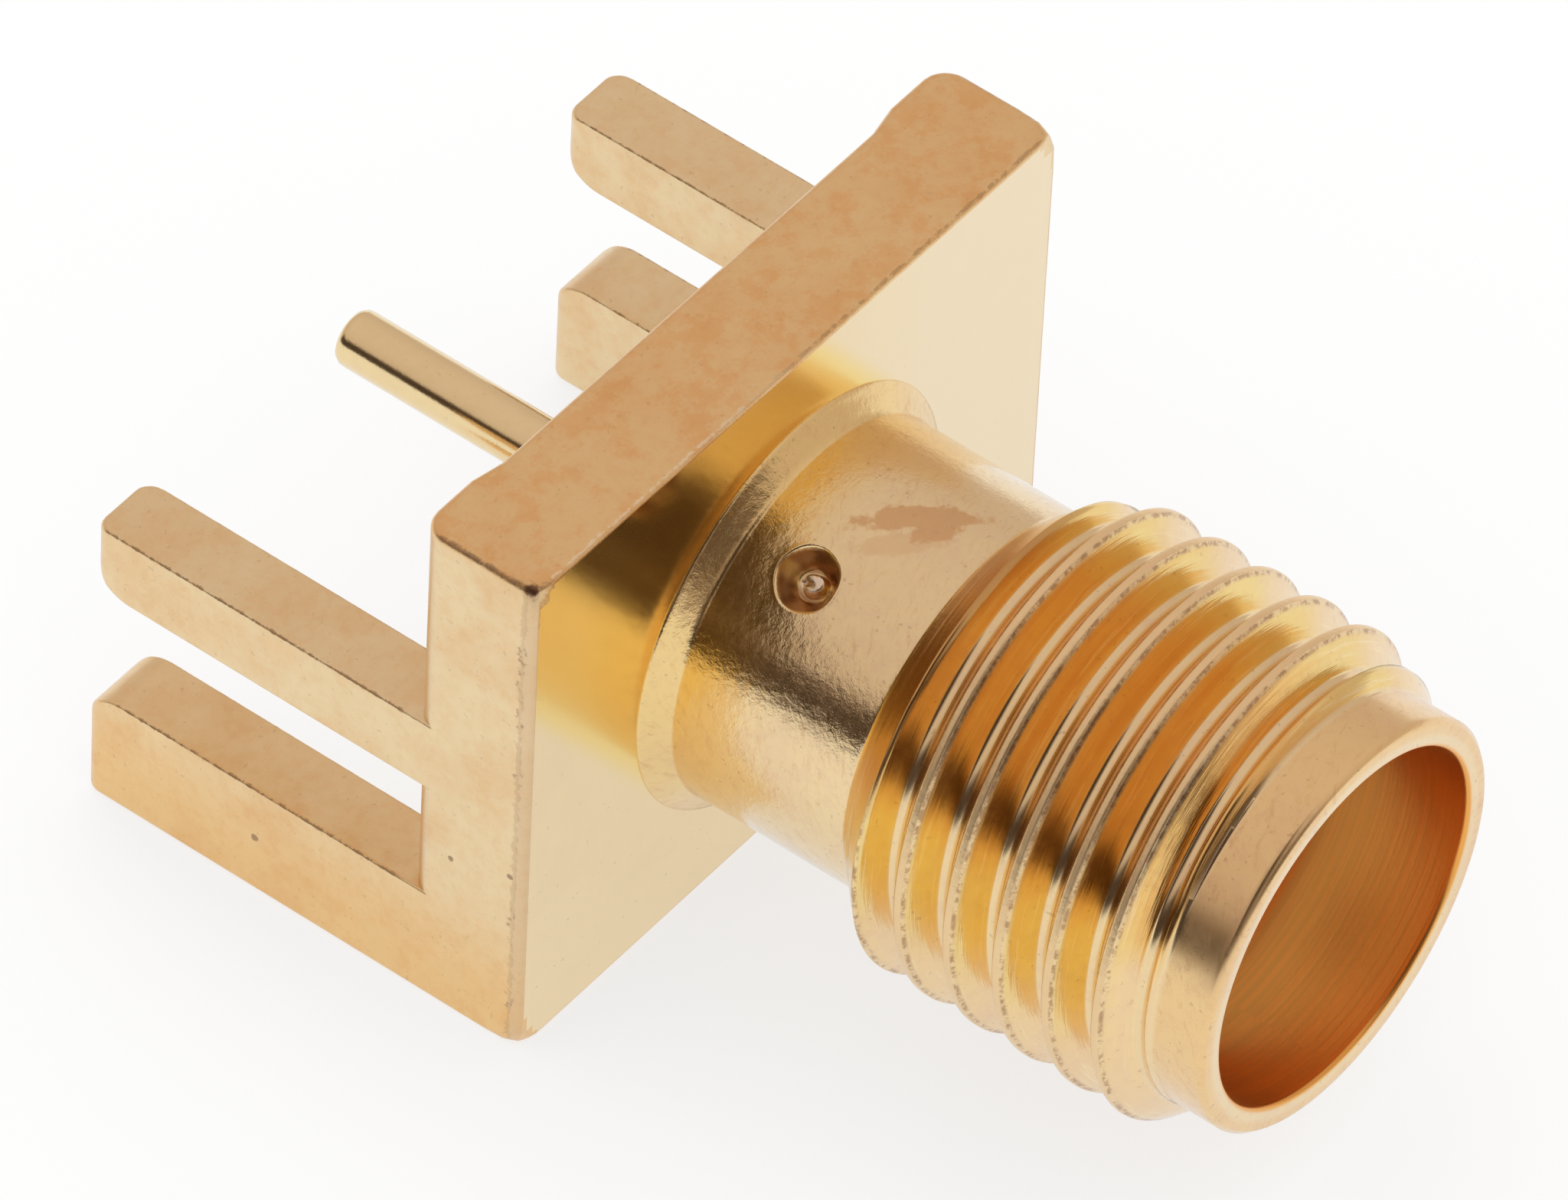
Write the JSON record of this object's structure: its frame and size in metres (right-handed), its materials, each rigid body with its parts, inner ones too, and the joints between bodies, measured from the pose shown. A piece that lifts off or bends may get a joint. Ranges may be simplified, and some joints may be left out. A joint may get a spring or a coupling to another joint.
{
  "type": "sma edge mount socket",
  "caption": "Edge-mount coaxial socket: rectangular flange with legs that straddle a circuit board's edge, a solder pin behind, and a threaded barrel with a stepped bore.",
  "frame": {"origin": "on the barrel's axis, in the flange's rear face, which the circuit board's edge meets", "axes": "+Y along the barrel's axis from the mouth towards the solder pin, +Z square to the circuit board and away from it, +X across the board"},
  "size_m": [0.0096, 0.0146, 0.0077],
  "materials": {
    "plated_body": "thin gold plating, satin to glossy, lightly tarnished",
    "insulator": "white fluoroplastic, satin",
    "plated_contact": "gold plating, glossy"
  },
  "bodies": {
    "root": {"socket_body": "plated_body", "insulator": "insulator", "center_contact": "plated_contact"}
  },
  "joints": []
}
